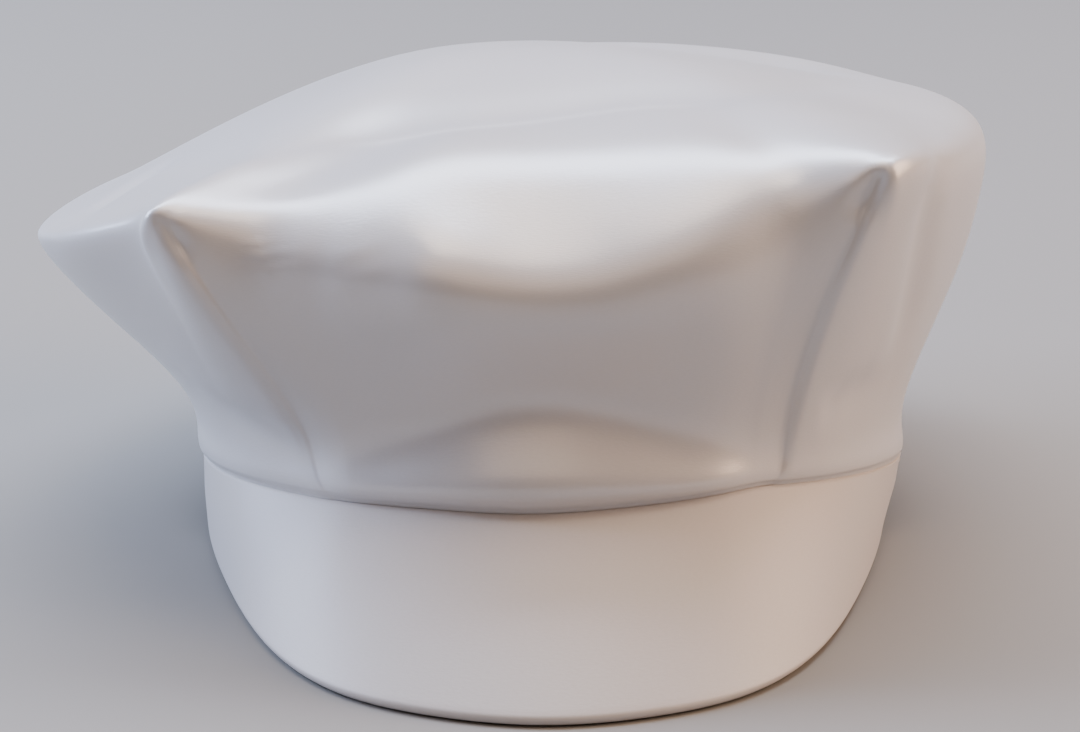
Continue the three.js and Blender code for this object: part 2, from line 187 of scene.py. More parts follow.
# name, lift, left, right, ends, line
FOLDS = (
    Fold("valley across the top", -1.4, 10, 5, (0.4, 0.3),
         ((-71, -21, 58), (-55, -50, 60), (-42, -46, 64), (-20, -47, 66), (2, -43, 68), (20, -41, 69),
          (38, -38, 71), (58, -1, 71))),
    Fold("hollow at the right back", -1.6, 18, 18, (0.5, 0.5), ((28, 28, 78), (60, 38, 73))),
    Fold("crease at the left corner", -1.5, 3.5, 3.5, (0.3, 0.0),
         ((-88, -33, 48), (-80, -21, 53), (-70, -12, 57))),
    Fold("groove down the right side", -1.5, 5, 5, (0.2, 0.0),
         ((68, -42, 64), (66, -60, 54), (64, -47, 33), (61, -40, 20))),
    Fold("dent at the right waist", -1.2, 5, 5, (0.3, 0.0), ((62, -38, 19), (52, -54, 18), (46, -60, 15))),
    Fold("crease at the left waist", -1.3, 4.5, 4.5, (0.3, 0.0),
         ((-66, -37, 17), (-56, -48, 13), (-48, -57, 9), (-39, -65, 4))),
    Fold("arched crease over the roll", -0.8, 5, 5, (0.0, 0.0),
         ((-37, -66, 7), (-26, -71, 13), (-3, -75, 20), (18, -73, 14), (29, -70, 10))),
    Fold("puff below the front edge", 2.0, 10, 10.5, (0.3, 0.3),
         ((-59, -73, 44), (-46, -74, 42), (-30, -79, 41), (-19, -83, 39), (-7, -84, 37), (8, -83, 36.5),
          (18, -82, 41), (31, -80, 45.5), (42, -76, 49))),
    Fold("fill at the left of the puff", 2.3, 8, 10, (0.0, 0.2),
         ((-54, -75, 46), (-44, -77, 44), (-35, -80, 43), (-24, -83, 42))),
    Fold("rim over the left tip", 0.8, 2, 2, (0.3, 0.2),
         ((-68.5, -69, 40), (-70.5, -71, 46), (-70, -73, 50.5), (-68, -74, 52.5), (-64, -75, 51.5))),
    Fold("pocket under the left tip", -0.9, 2.4, 2.4, (1.0, 0.0),
         ((-67, -74, 50.5), (-65.5, -74.5, 48), (-62, -74, 43))),
    Fold("rim over the right tip", 0.8, 2.1, 2.1, (0.3, 0.2),
         ((56, -74, 52), (57, -76, 56.5), (56, -77, 60), (53, -78, 60), (50, -79, 58))),
    Fold("pocket under the right tip", -1.0, 2.6, 2.6, (1.0, 0.0),
         ((54.5, -77, 58), (53.5, -77, 55), (51, -76, 50))),
)

# Across each pleat, from the panel to the side: place in stations, push over the panel, lift.
LEFT_SECTION = (
    (-0.75, 0.0, 0.0), (-0.50, 0.0, -0.2), (-0.32, 0.0, -0.3), (-0.22, 0.0, -0.4), (-0.15, 0.0, -0.4),
    (-0.10, 0.1, -0.4), (-0.06, 0.1, -0.3), (-0.03, 0.0, -0.1), (0.00, 0.0, 0.1), (0.03, -0.1, 0.2),
    (0.07, -0.2, 0.3), (0.12, -0.2, 0.5), (0.18, -0.1, 0.6), (0.26, 0.0, 0.6), (0.38, 0.0, 0.5),
    (0.60, 0.0, 0.4), (0.85, 0.0, 0.2), (1.00, 0.0, 0.0),
)

RIGHT_SECTION = (
    (-0.75, 0.0, 0.0), (-0.50, 0.0, -0.2), (-0.32, 0.0, -0.4), (-0.22, 0.0, -0.5), (-0.15, 0.1, -0.6),
    (-0.10, 0.1, -0.5), (-0.06, 0.1, -0.4), (-0.03, 0.0, -0.1), (0.00, -0.1, 0.1), (0.03, -0.2, 0.3),
    (0.07, -0.3, 0.5), (0.12, -0.3, 0.7), (0.18, -0.2, 0.7), (0.26, 0.0, 0.6), (0.36, 0.0, 0.5),
    (0.55, 0.0, 0.4), (0.80, 0.0, 0.2), (1.00, 0.0, 0.0),
)

PLEATS = (
    Pleat("left pleat", Side.LEFT, "fold left", 4.1, 4.9, LEFT_SECTION, 0.3),
    Pleat("right pleat", Side.RIGHT, "fold right", 4.1, 4.9, RIGHT_SECTION, 0.15),
)


def cubic_weights(share: np.ndarray) -> np.ndarray:
    """Weights of four control points in a row.

    Args:
        share: how far each place lies from the second point to the third, 0 to 1.

    Returns:
        The four weights on a new last axis.
    """
    rest = 1 - share
    return np.stack([
        rest ** 3 / 6,
        (3 * share ** 3 - 6 * share ** 2 + 4) / 6,
        (3 * rest ** 3 - 6 * rest ** 2 + 4) / 6,
        share ** 3 / 6,
    ], axis=-1)


def ease(start: float, end: float, x: np.ndarray) -> np.ndarray:
    """Smooth step of x, from 0 at start to 1 at end."""
    share = np.clip((x - start) / (end - start), 0, 1)
    return share * share * (3 - 2 * share)


def pad_rows(table: np.ndarray, is_ring: bool) -> np.ndarray:
    """Adds one row at each end of a table.

    Args:
        table: the places, one in each row.
        is_ring: whether a new row repeats the other end's, or else runs straight on.

    Returns:
        The longer table.
    """
    if is_ring:
        return np.concatenate([table[-1:], table, table[:1]])
    return np.concatenate([2 * table[:1] - table[1:2], table, 2 * table[-1:] - table[-2:-1]])


def net_through(table: np.ndarray, is_ring: bool) -> np.ndarray:
    """Control points whose smooth curve passes through the rows of a table.

    Args:
        table: the places to pass through, one in each row.
        is_ring: whether the curve closes on itself.

    Returns:
        One control point for each row.
    """
    net = table.astype(float)
    for _ in range(NET_PASSES):
        padded = pad_rows(net, is_ring)
        net = net + table - (padded[:-2] + 4 * net + padded[2:]) / 6
    return net


def drawn_curve(net: np.ndarray, count: int) -> np.ndarray:
    """Points of the open smooth curve of some control points.

    Args:
        net: the control points, one in each row.
        count: how many places the curve is read at.

    Returns:
        The curve's points, one in each row.
    """
    padded = pad_rows(net, False)
    place = np.linspace(0, len(net) - 1, count)
    first = np.minimum(place.astype(int), len(net) - 2)
    weights = cubic_weights(place - first)
    return sum(weights[:, k, None] * padded[first + k] for k in range(4))


def lengths_along(points: np.ndarray, axis: int) -> np.ndarray:
    """Length of cloth from its first column or row to each, averaged over the others.

    Args:
        points: the cloth's points by column and row.
        axis: 0 to measure from column to column, 1 from row to row.

    Returns:
        The length to each, starting at 0.
    """
    steps = np.linalg.norm(np.diff(points, axis=axis), axis=-1).mean(axis=1 - axis)
    return np.concatenate([[0], np.cumsum(steps)])


def unit(vectors: np.ndarray) -> np.ndarray:
    """The same vectors, each one unit long."""
    return vectors / (np.linalg.norm(vectors, axis=-1, keepdims=True) + TINY)


@dataclass(frozen=True)
class Opening:
    """The head opening and the way that the hat rests on it.

    Attributes:
        half_width: half its width over the hem.
        half_length: half its length over the hem.
        tilt: how far the hat is tipped back onto its rear hem, degrees.
        sink: how far the hem's soft edge is pressed flat.
        middle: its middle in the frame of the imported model, x and y.
    """

    half_width: float = 67.5
    half_length: float = 75.0
    tilt: float = 9.4
    sink: float = 0.5
    middle: tuple[float, float] = (7.34, 4.79)

    def rim(self, turn: np.ndarray) -> np.ndarray:
        """Points on the level rim at angles from the front, in degrees."""
        angle = np.radians(turn)
        return np.stack([
            self.half_width * np.sin(angle), -self.half_length * np.cos(angle), 0 * angle], axis=-1)

    def outward(self, turn: np.ndarray) -> np.ndarray:
        """Level directions square to the rim, pointing out, at angles in degrees."""
        angle = np.radians(turn)
        return unit(np.stack([
            np.sin(angle) / self.half_width, -np.cos(angle) / self.half_length, 0 * angle], axis=-1))

    def turn_of(self, points: np.ndarray) -> np.ndarray:
        """Angles round the opening at which level points stand, in degrees."""
        return np.degrees(np.arctan2(points[..., 0] / self.half_width, -points[..., 1] / self.half_length))

    def rest(self, points: np.ndarray) -> np.ndarray:
        """Tips points of the level hat into its resting place.

        Args:
            points: level points, in millimetres.

        Returns:
            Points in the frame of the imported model, in metres, none below the ground.
        """
        cos, sin = math.cos(math.radians(self.tilt)), math.sin(math.radians(self.tilt))
        x = points[..., 0] + self.middle[0]
        y = points[..., 1] * cos + points[..., 2] * sin + self.middle[1]
        z = points[..., 2] * cos - points[..., 1] * sin + self.half_length * sin - self.sink
        return np.stack([x, y, np.maximum(z, 0)], axis=-1) * MM


def stood_off(base: np.ndarray, along: np.ndarray, amount: float, height: float) -> np.ndarray:
    """A point moved along a level direction and set at a height."""
    moved = base + along * amount
    return np.array([moved[0], moved[1], height])


@dataclass
class CrownForm:
    """The crown's smooth outer form, before its pleats and folds.

    Attributes:
        opening: the head opening that it stands on.
        stations: its sections, in order round the opening.
        centre: the highest point of its top.
        evened: how many times each row is evened out round the hat, from the hem up.
        net: its control points, worked out from the stations.
    """

    opening: Opening
    stations: tuple[Station, ...] = STATIONS
    centre: tuple[float, float, float] = (-3.0, 12.0, 79.0)
    evened: tuple[int, ...] = (0, 0, 0, 0, 0, 0, 0, 2, 4, 0)
    net: np.ndarray = field(init=False)

    def __post_init__(self) -> None:
        """Lays out the net of control points, with a row past each end."""
        sections = np.array([self.profile(station) for station in self.stations])
        for row, passes in enumerate(self.evened):
            for _ in range(passes):
                line = sections[:, row]
                sections[:, row] = (np.roll(line, 1, axis=0) + 2 * line + np.roll(line, -1, axis=0)) / 4
        net = net_through(sections, True)
        below = 2 * net[:, :1] - net[:, 1:2]
        beyond = 2 * net[:, -1:] - net[:, -2:-1]
        self.net = np.concatenate([below, net, beyond], axis=1)

    @property
    def top_row(self) -> int:
        """Row of the middle of the top."""
        return self.net.shape[1] - 3

    def profile(self, station: Station) -> list[np.ndarray]:
        """Control points up one station.

        Args:
            station: the section.

        Returns:
            Points from the hem over the ridge to the middle of the top.
        """
        hem = self.opening.rim(np.array(station.turn)) + np.array([0, 0, station.rise])
        out = self.opening.outward(np.array(station.turn))
        ridge = np.array([station.ridge_x, station.ridge_y, station.ridge_h])
        centre = np.array(self.centre)
        inward = (centre - ridge) * np.array([1, 1, 0])
        span = float(np.linalg.norm(inward))
        inward = inward / span
        soft, edge_h = station.soft, station.ridge_h
        swell_h = station.rise + SWELL_SHARE * (station.waist_h - station.rise)
        mid_h = (station.waist_h + edge_h) / 2
        crest_h = edge_h + station.crest * (centre[2] - edge_h)
        lean = np.array([station.ridge_x - station.mid_x, station.ridge_y - station.mid_y, 0])
        lean = lean * station.belly * soft / (edge_h - mid_h)
        return [
            hem,
            stood_off(hem, out, station.swell, swell_h),
            stood_off(hem, out, station.waist, station.waist_h),
            np.array([station.mid_x, station.mid_y, mid_h]),
            stood_off(ridge, lean, -1, edge_h - UNDER_EDGE * soft),
            stood_off(ridge, lean, OVER_LEAN, edge_h + OVER_EDGE * soft),
            stood_off(ridge, inward, soft, edge_h + station.brow),
            stood_off(ridge, inward, TOP_SHARES[0] * span, crest_h),
            stood_off(ridge, inward, TOP_SHARES[1] * span, centre[2] - TOP_DROP),
            centre,
        ]

    def station_index(self, name: str) -> int:
        """Number of the station with that name."""
        return [station.name for station in self.stations].index(name)

    def point(self, u: np.ndarray, v: np.ndarray) -> np.ndarray:
        """Points of the smooth form.

        Args:
            u: places round the crown, in stations.
            v: places up the crown, in rows.

        Returns:
            Level points, in millimetres.
        """
        u, v = np.broadcast_arrays(u, v)
        first = np.floor(u).astype(int)
        row = np.clip(np.floor(v).astype(int), 0, self.top_row - 1)
        around = cubic_weights(u - first)
        up = cubic_weights(v - row)
        count = len(self.stations)
        total = np.zeros(u.shape + (3,))
        for k in range(4):
            for m in range(4):
                weight = around[..., k] * up[..., m]
                total += weight[..., None] * self.net[(first + k - 1) % count, row + m]
        return total

    def around(self, u: np.ndarray, v: np.ndarray) -> np.ndarray:
        """Millimetres of cloth to one station at a place, as vectors round the crown."""
        ahead, behind = self.point(u + NEAR_STEP, v), self.point(u - NEAR_STEP, v)
        return (ahead - behind) / (2 * NEAR_STEP)

    def normal(self, u: np.ndarray, v: np.ndarray) -> np.ndarray:
        """Outward normals of the smooth form.

        Args:
            u: places round the crown, in stations.
            v: places up the crown, in rows.

        Returns:
            Normals of length 1, straight up at the middle of the top.
        """
        low = np.maximum(v - NEAR_STEP, 0)
        high = np.minimum(v + NEAR_STEP, self.top_row)
        up = self.point(u, high) - self.point(u, low)
        normal = unit(np.cross(self.around(u, v), up))
        at_top = np.asarray(v > self.top_row - 2 * NEAR_STEP)
        return np.where(at_top[..., None], np.array([0.0, 0.0, 1.0]), normal)

    def hem_at(self, turn: np.ndarray) -> np.ndarray:
        """Points on the hem.

        Args:
            turn: angles from the front, in degrees from -180 to 180.

        Returns:
            Level points, in millimetres.
        """
        half, samples = len(self.stations) / 2, 1200
        u = np.linspace(-half, half, samples)
        hem = self.point(u, np.zeros_like(u))
        angle = np.degrees(np.unwrap(np.radians(self.opening.turn_of(hem))))
        angle = angle - 360 * np.round(angle[len(u) // 2] / 360)
        return self.point(np.interp(turn, angle, u), np.zeros_like(turn))


def fold_lift(fold: Fold, points: np.ndarray, normals: np.ndarray) -> np.ndarray:
    """How far one fold lifts the cloth.

    Args:
        fold: the fold.
        points: places on the cloth.
        normals: the cloth's outward normals there.

    Returns:
        The lift at each place, in millimetres.
    """
    steps = FOLD_PIECES * (len(fold.line) - 1)
    line = drawn_curve(net_through(np.array(fold.line), False), steps + 1)
    reach = FOLD_REACH * max(fold.left, fold.right)
    lift = np.zeros(points.shape[:-1])
    near = np.all((points > line.min(axis=0) - reach) & (points < line.max(axis=0) + reach), axis=-1)
    cloth, out = points[near], normals[near]
    nearest = np.full(len(cloth), np.inf)
    width = np.full(len(cloth), fold.left, float)
    travel = np.zeros(len(cloth))
    for k, (start, end) in enumerate(zip(line[:-1], line[1:])):
        along = end - start
        share = np.clip((cloth - start) @ along / (along @ along), 0, 1)
        offset = cloth - start - share[:, None] * along
        off_cloth = np.einsum("ik,ik->i", offset, out)
        in_cloth = offset - off_cloth[:, None] * out
        beyond = np.maximum(np.abs(off_cloth) - OFF_CLOTH, 0)
        distance = np.hypot(np.linalg.norm(in_cloth, axis=1), beyond)
        is_left = np.einsum("ik,ik->i", np.cross(out, along), in_cloth) > 0
        closer = distance < nearest
        width = np.where(closer, np.where(is_left, fold.left, fold.right), width)
        travel = np.where(closer, (k + share) / steps, travel)
        nearest = np.minimum(nearest, distance)
    start_share, end_share = fold.ends
    strength = start_share + (1 - start_share) * ease(0, FOLD_RAMP, travel)
    strength = strength * (end_share + (1 - end_share) * ease(0, FOLD_RAMP, 1 - travel))
    lift[near] = fold.lift * strength * np.exp(-(nearest / width) ** 2)
    return lift


def cloth_object(name: str, points: np.ndarray, across: np.ndarray) -> bpy.types.Object:
    """A named piece of cloth: a flat grid of satin moved onto its form and sewn along its edges.

    Args:
        name: the piece's name.
        points: where each column and row of the grid goes, in metres.
        across: place of each column on the flat cloth, in metres.

    Returns:
        The piece, linked to the scene, at the origin.
    """
    columns, rows = points.shape[0] - 1, points.shape[1] - 1
    up = lengths_along(points, 1)
    mesh_maker = bmesh.new()
    bmesh.ops.create_grid(mesh_maker, x_segments=columns, y_segments=rows, size=1.0)
    grain_layer = mesh_maker.loops.layers.uv.new("grain")
    place = {}
    for vertex in mesh_maker.verts:
        column = round((vertex.co.x + 1) / 2 * columns)
        row = round((vertex.co.y + 1) / 2 * rows)
        place[vertex] = (column, row)
        vertex.co = points[column, row]
    for face in mesh_maker.faces:
        face.smooth = True
        for loop in face.loops:
            column, row = place[loop.vert]
            loop[grain_layer].uv = (across[column], up[row])
    edge = [vertex for vertex in mesh_maker.verts if vertex.is_boundary]
    bmesh.ops.remove_doubles(mesh_maker, verts=edge, dist=WELD)
    bmesh.ops.recalc_face_normals(mesh_maker, faces=mesh_maker.faces)
    mesh = bpy.data.meshes.new(name)
    mesh_maker.to_mesh(mesh)
    mesh_maker.free()
    piece = bpy.data.objects.new(name, mesh)
    bpy.context.scene.collection.objects.link(piece)
    return piece


@dataclass
class Crown:
    """The crown: one sheet of satin with two knife pleats, puffed over the head opening.

    Attributes:
        form: its smooth outer form.
        folds: its soft folds, creases and dents.
        pleats: its knife pleats.
        cloth: thickness of the satin with its backing.
        column_gap: spacing of the mesh's columns, measured at the ridge.
        ridge_row: row of the form that the ridge runs along.
        hem_roll: radius of the turned hem.
        hem_inside: rows of the form that the hem is turned up inside, as (from, to, how many).
        hem_rows: how many rows of the mesh go round the turn of the hem.
        bands: bands of rows up the outside, as (from, to, how many), to the middle of the top.
        pleat_columns: how many columns each pleat is drawn with.
        foot: share of a pleat's depth that is left at the hem, where it is sewn flat.
        foot_top: row at which a pleat has its full depth.
        slide_width: how far round a pleat's foot the cloth turns in with it, in stations.
        slide_top: row above which it doesn't.
        fold_foot: row at which the folds have their full lift; they fade to nothing at the hem.
        least_stretch: fewest millimetres of cloth to one station that a pleat reckons with.
    """

    form: CrownForm
    folds: tuple[Fold, ...] = FOLDS
    pleats: tuple[Pleat, ...] = PLEATS
    cloth: float = 0.5
    column_gap: float = 2.0
    ridge_row: float = 4.6
    hem_roll: float = 1.3
    hem_inside: tuple[float, float, int] = (1.5, 0.3, 7)
    hem_rows: int = 11
    bands: tuple[tuple[float, float, int], ...] = (
        (0.5, 2, 13), (2, 4, 23), (4, 6, 27), (6, 7.4, 21), (7.4, 9, 13),
    )
    pleat_columns: int = 54
    foot: float = 0.25
    foot_top: float = 2.4
    slide_width: float = 0.8
    slide_top: float = 1.7
    fold_foot: float = 0.6
    least_stretch: float = 4.0

    def plain_columns(self) -> np.ndarray:
        """Columns away from the pleats.

        Returns:
            Places round the crown, in stations, evenly spaced along the ridge.
        """
        stations = len(self.form.stations)
        u = np.linspace(0, stations, 100 * stations + 1)
        length = lengths_along(self.form.point(u, np.full_like(u, self.ridge_row))[:, None], 0)
        count = int(length[-1] / self.column_gap)
        return np.interp(np.linspace(0, length[-1], count, endpoint=False), length, u)

    def columns(self) -> np.ndarray:
        """Columns of the crown's grid.

        Returns:
            Rows of (stations round, push in millimetres, lift, row closed to, row open from).
        """
        plain = self.plain_columns()
        clear = 0.01  # stations that a plain column keeps from a pleat
        found = []
        for pleat in self.pleats:
            middle = self.form.station_index(pleat.station)
            section = drawn_curve(np.array(pleat.section), self.pleat_columns)
            place = middle + pleat.side.value * section[:, 0]
            plain = plain[(plain < place.min() - clear) | (plain > place.max() + clear)]
            found += [
                (at, pleat.side.value * push, lift, pleat.closed_to, pleat.open_from)
                for at, (_, push, lift) in zip(place, section)
            ]
        found += [(at, 0.0, 0.0, 0.0, 1.0) for at in plain]
        found.sort(key=lambda column: column[0])
        first = found[0]
        found.append((first[0] + len(self.form.stations),) + first[1:])
        return np.array(found)

    def rows(self) -> np.ndarray:
        """Rows of the crown's grid, from inside the turned hem to the middle of the top.

        Returns:
            Rows of (row of the form, inset along the normal, inset level at the roll, rise).
        """
        roll = self.hem_roll
        inside = [(v, 2 * roll, 0.0, 0.0) for v in np.linspace(*self.hem_inside)]
        bend = [
            (0.0, 0.0, roll * (1 - math.cos(angle)), roll * (1 - math.sin(angle)))
            for angle in np.linspace(math.pi, 0, self.hem_rows)
        ]
        wall = np.unique(np.concatenate([np.linspace(*band) for band in self.bands]))
        return np.array(inside + bend + [(v, 0.0, 0.0, 0.0) for v in wall])

    def slide(self, at: np.ndarray) -> np.ndarray:
        """How far the cloth near a pleat's foot turns in over the panel.

        Args:
            at: places round the crown, in stations.

        Returns:
            The turn at each place, in stations.
        """
        total = np.zeros_like(at)
        for pleat in self.pleats:
            away = at - self.form.station_index(pleat.station)
            total -= pleat.side.value * pleat.slide * np.exp(-(away / self.slide_width) ** 2)
        return total

    def sheet(self) -> np.ndarray:
        """Lays the cloth over the form, with its pleats, folds and turned hem.

        Returns:
            Level points by column and row, in millimetres.
        """
        columns, rows = self.columns(), self.rows()
        v, inset, level_inset, rise = (rows[None, :, k] for k in range(4))
        at, push, lift = (columns[:, k, None] for k in range(3))
        closed_to, open_from = columns[:, 3, None], columns[:, 4, None]
        depth = self.foot + (1 - self.foot) * ease(0, self.foot_top, v)
        depth = depth * (1 - ease(closed_to, open_from, v))
        stretch = np.maximum(np.linalg.norm(self.form.around(at, v), axis=-1), self.least_stretch)
        u = at + depth * push / stretch + self.slide(at) * (1 - ease(0, self.slide_top, v))
        points = self.form.point(u, v)
        normals = self.form.normal(u, v)
        folds = sum(fold_lift(fold, points, normals) for fold in self.folds)
        stand = folds * ease(0, self.fold_foot, v) + lift * depth - inset
        level = unit(normals * np.array([1, 1, 0]))
        up = np.array([0.0, 0.0, 1.0])
        return points + normals * stand[..., None] - level * level_inset[..., None] + up * rise[..., None]

    def build(self) -> bpy.types.Object:
        """Makes the crown's mesh and gives its satin a thickness.

        Returns:
            The crown, at the origin.
        """
        points = self.form.opening.rest(self.sheet())
        crown = cloth_object("crown_satin_shell", points, lengths_along(points, 0))
        thickness = crown.modifiers.new("cloth", "SOLIDIFY")
        thickness.thickness = self.cloth * MM
        thickness.offset = -1
        return crown


@dataclass
class Peak:
    """The peak: two layers of satin over a stiffener, turned at the edge and sewn to the hem.

    Attributes:
        form: the crown's form, which gives the seam.
        edge: rows of (side, ahead) of its outer edge on the ground, for every 15 degrees round the
            hem from the front to its end.
        middle: x of its own middle.
        thickness: over both layers.
        gap: play between it and the hem; less than nothing, because its seam is pressed into the hem.
        reach: about how far it reaches ahead of the seam.
        bow: how far its middle is bowed up.
        end: its ends, in degrees round the hem.
        end_taper: degrees over which each end closes to a rounded tip.
        end_drop: how far the outer edge lies under the seam at its ends.
        lift_from: where its edge starts to rise to the seam, in degrees.
        edge_height: height of its outer edge above the ground.
        tuck: how far its seam allowance reaches in under the hem.
        seam_share: thickness at the seam, as a share of the whole, where the stiffener stops.
        seam_width: how far from the seam the stiffener comes to its whole thickness.
        cloth_width: length of cloth from end to end, in metres.
        columns: how many columns its mesh has between its ends.
        rows: how many rows its upper face has.
        bend_rows: how many rows go round its turned edge.
    """

    form: CrownForm
    edge: tuple[tuple[float, float], ...] = (
        (0, 110), (19.5, 106), (36, 96), (48.5, 77), (57.5, 50), (63.5, 24), (66.3, 2),
    )
    middle: float = -1.2
    thickness: float = 2.2
    gap: float = -0.4
    reach: float = 40.0
    bow: float = 1.6
    end: float = 88.0
    end_taper: float = 4.0
    end_drop: float = 2.0
    lift_from: float = 77.0
    edge_height: float = 1.4
    tuck: float = 1.8
    seam_share: float = 0.4
    seam_width: float = 5.0
    cloth_width: float = 0.22
    columns: int = 180
    rows: int = 42
    bend_rows: int = 11

    def outline(self, turn: np.ndarray) -> np.ndarray:
        """Points of the outer edge as drawn on the ground.

        Args:
            turn: places on the hem, in degrees.

        Returns:
            The point of the edge that belongs to each, x and y.
        """
        right = np.array([(self.middle + side, -ahead) for side, ahead in self.edge])
        left = np.array([(self.middle - side, -ahead) for side, ahead in self.edge[1:]])
        degrees = np.linspace(-90, 90, 1801)
        drawn = drawn_curve(net_through(np.vstack([left[::-1], right]), False), len(degrees))
        return np.stack([np.interp(turn, degrees, drawn[:, k]) for k in range(2)], axis=-1)

    def top(self, turn: np.ndarray, share: np.ndarray) -> np.ndarray:
        """Points of its upper face at rest, in millimetres.

        Args:
            turn: places on the hem, in degrees, one for each column.
            share: places from the seam to the edge, 0 to 1, one for each row.

        Returns:
            Points by column and row, after one column that is tucked in under the hem.
        """
        hem = self.form.hem_at(turn) - np.array([0, 0, self.gap])
        tucked = hem - self.form.opening.outward(turn) * self.tuck
        seam = self.form.opening.rest(hem) / MM
        edge = np.pad(self.outline(turn), ((0, 0), (0, 1)), constant_values=self.edge_height)
        edge = edge + np.array([*self.form.opening.middle, 0])
        lift = ease(self.lift_from, 90, np.abs(turn))[:, None]
        raised = np.stack([seam[:, 0], edge[:, 1], seam[:, 2] - self.end_drop], axis=-1)
        edge = edge + (raised - edge) * lift
        share = share[None, :, None]
        points = seam[:, None] + (edge - seam)[:, None] * share
        bow = self.bow * np.cos(np.radians(turn))[:, None] ** 2
        points[..., 2] += bow * 4 * share[..., 0] * (1 - share[..., 0])
        return np.concatenate([self.form.opening.rest(tucked)[:, None] / MM, points], axis=1)

    def build(self) -> bpy.types.Object:
        """Makes the peak's mesh: a flattened tube of satin closed at both ends.

        Returns:
            The peak, at the origin.
        """
        turn = np.linspace(-self.end, self.end, self.columns + 1)
        top = self.top(turn, np.linspace(0, 1 - self.thickness / 2 / self.reach, self.rows))
        down = unit(np.gradient(top, axis=1))
        normal = unit(np.cross(down, np.gradient(top, axis=0)))
        thin = self.seam_share + (1 - self.seam_share) * ease(0, self.seam_width, lengths_along(top, 1))
        half = self.thickness / 2 * thin[None, :, None]
        core = top - normal * half
        past_taper = (np.abs(turn) - self.end + self.end_taper) / self.end_taper
        half = half * np.sqrt(1 - past_taper.clip(0, 1) ** 2)[:, None, None]
        edge = [
            core[:, -1] + half[:, -1] * (math.cos(angle) * normal[:, -1] + math.sin(angle) * down[:, -1])
            for angle in np.linspace(0, math.pi, self.bend_rows)[1:-1]
        ]
        upper = core + half * normal
        under = core - half * normal
        loop = np.concatenate([upper, np.stack(edge, axis=1), under[:, ::-1], upper[:, :1]], axis=1)
        loop[..., 2] = np.maximum(loop[..., 2], 0)
        return cloth_object("peak_satin_cover", loop * MM, turn / self.end * self.cloth_width / 2)


def linear(hex_colour: str) -> tuple[float, ...]:
    """A colour written as sRGB hex, as linear red, green, blue and full opacity."""
    shares = [int(hex_colour.lstrip("#")[k:k + 2], 16) / 255 for k in (0, 2, 4)]
    return tuple(c / 12.92 if c <= 0.04045 else ((c + 0.055) / 1.055) ** 2.4 for c in shares) + (1.0,)


def add_node(tree: bpy.types.NodeTree, kind: str, settings: dict, links: dict) -> bpy.types.Node:
    """Adds one node to a material.

    Args:
        tree: the material's node tree.
        kind: the node's type.
        settings: its properties, and values of its sockets by name or number.
        links: what feeds its sockets, by name or number.

    Returns:
        The node.
    """
    node = tree.nodes.new(kind)
    for name, value in settings.items():
        if isinstance(name, str) and hasattr(node, name):
            setattr(node, name, value)
        else:
            node.inputs[name].default_value = value
    for name, socket in links.items():
        tree.links.new(socket, node.inputs[name])
    return node


